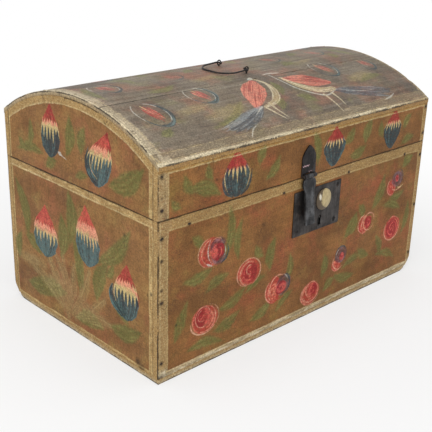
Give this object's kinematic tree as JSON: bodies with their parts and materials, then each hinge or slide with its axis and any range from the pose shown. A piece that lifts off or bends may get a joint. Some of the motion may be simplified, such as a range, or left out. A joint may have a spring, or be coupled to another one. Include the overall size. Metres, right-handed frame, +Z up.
{
  "type": "painted wooden chest",
  "caption": "Small domed chest of nailed, painted boards for papers and keepsakes, with a hinged lid, an iron hasp over a lock plate and a folding wire handle.",
  "frame": {"origin": "centre of the underside of the bottom board", "axes": "+X along the length to the right as seen from the front, -Y out of the front with the lock, +Z up"},
  "size_m": [0.45, 0.2988, 0.288],
  "materials": {
    "painted_wood": "thin brown glaze with cream borders and painted flowers, worn satin",
    "painted_dome": "greyed and rubbed brown glaze with painted buds and two birds",
    "bare_wood": "bare aged board, dull",
    "lock_iron": "dark wrought sheet iron, worn",
    "wire_iron": "dark drawn iron wire",
    "nail_iron": "hand-made nails, rusted dark",
    "pale_disc": "pale turned disc, smooth and yellowed"
  },
  "bodies": {
    "box": {"bottom_board": "bare_wood", "front_board": "painted_wood", "back_board": "painted_wood", "left_end_board": "painted_wood", "right_end_board": "painted_wood", "front_rim_batten": "bare_wood", "corner_nails": "nail_iron", "bottom_nails": "nail_iron", "rim_nails": "nail_iron", "left_box_hinge_eye": "wire_iron", "right_box_hinge_eye": "wire_iron", "lock_plate": "lock_iron", "lock_plate_disc": "pale_disc", "lock_plate_tacks": "nail_iron", "lock_case": "lock_iron", "bolt_guide": "lock_iron", "bolt_stud": "lock_iron", "bolt_spring": "lock_iron", "key_pin": "lock_iron"},
    "lid": {"lid_front_rail": "painted_wood", "lid_back_rail": "painted_wood", "lid_left_end": "painted_wood", "lid_right_end": "painted_wood", "dome_front_board": "painted_dome", "dome_top_board": "painted_dome", "dome_back_board": "painted_dome", "lid_corner_nails": "nail_iron", "dome_nails": "nail_iron", "left_lid_hinge_eye": "wire_iron", "right_lid_hinge_eye": "wire_iron", "front_handle_eye": "wire_iron", "back_handle_eye": "wire_iron", "hasp_leaf": "lock_iron", "hasp_leaf_tacks": "nail_iron", "hasp_pin": "lock_iron"},
    "hasp": {"hasp_strap": "lock_iron", "hasp_staple": "lock_iron"},
    "handle": {"handle_bail": "wire_iron"},
    "bolt": {"lock_bolt": "lock_iron"}
  },
  "joints": [
    {"name": "lid_hinge", "type": "hinge", "parent": "box", "child": "lid", "pos_m": [0, 0.1456, 0.1822], "axis": [-1, 0, 0], "range_deg": [0, 105]},
    {"name": "hasp_hinge", "type": "hinge", "parent": "lid", "child": "hasp", "pos_m": [-0.0065, -0.1422, 0.184], "axis": [-1, 0, 0], "range_deg": [-5.5, 150]},
    {"name": "handle_hinge", "type": "hinge", "parent": "lid", "child": "handle", "pos_m": [0.002, -0.005, 0.2845], "axis": [0, 1, 0], "range_deg": [0, 187]},
    {"name": "bolt_slide", "type": "slide", "parent": "box", "child": "bolt", "axis": [-1, 0, 0], "range_m": [0, 0.008]}
  ]
}
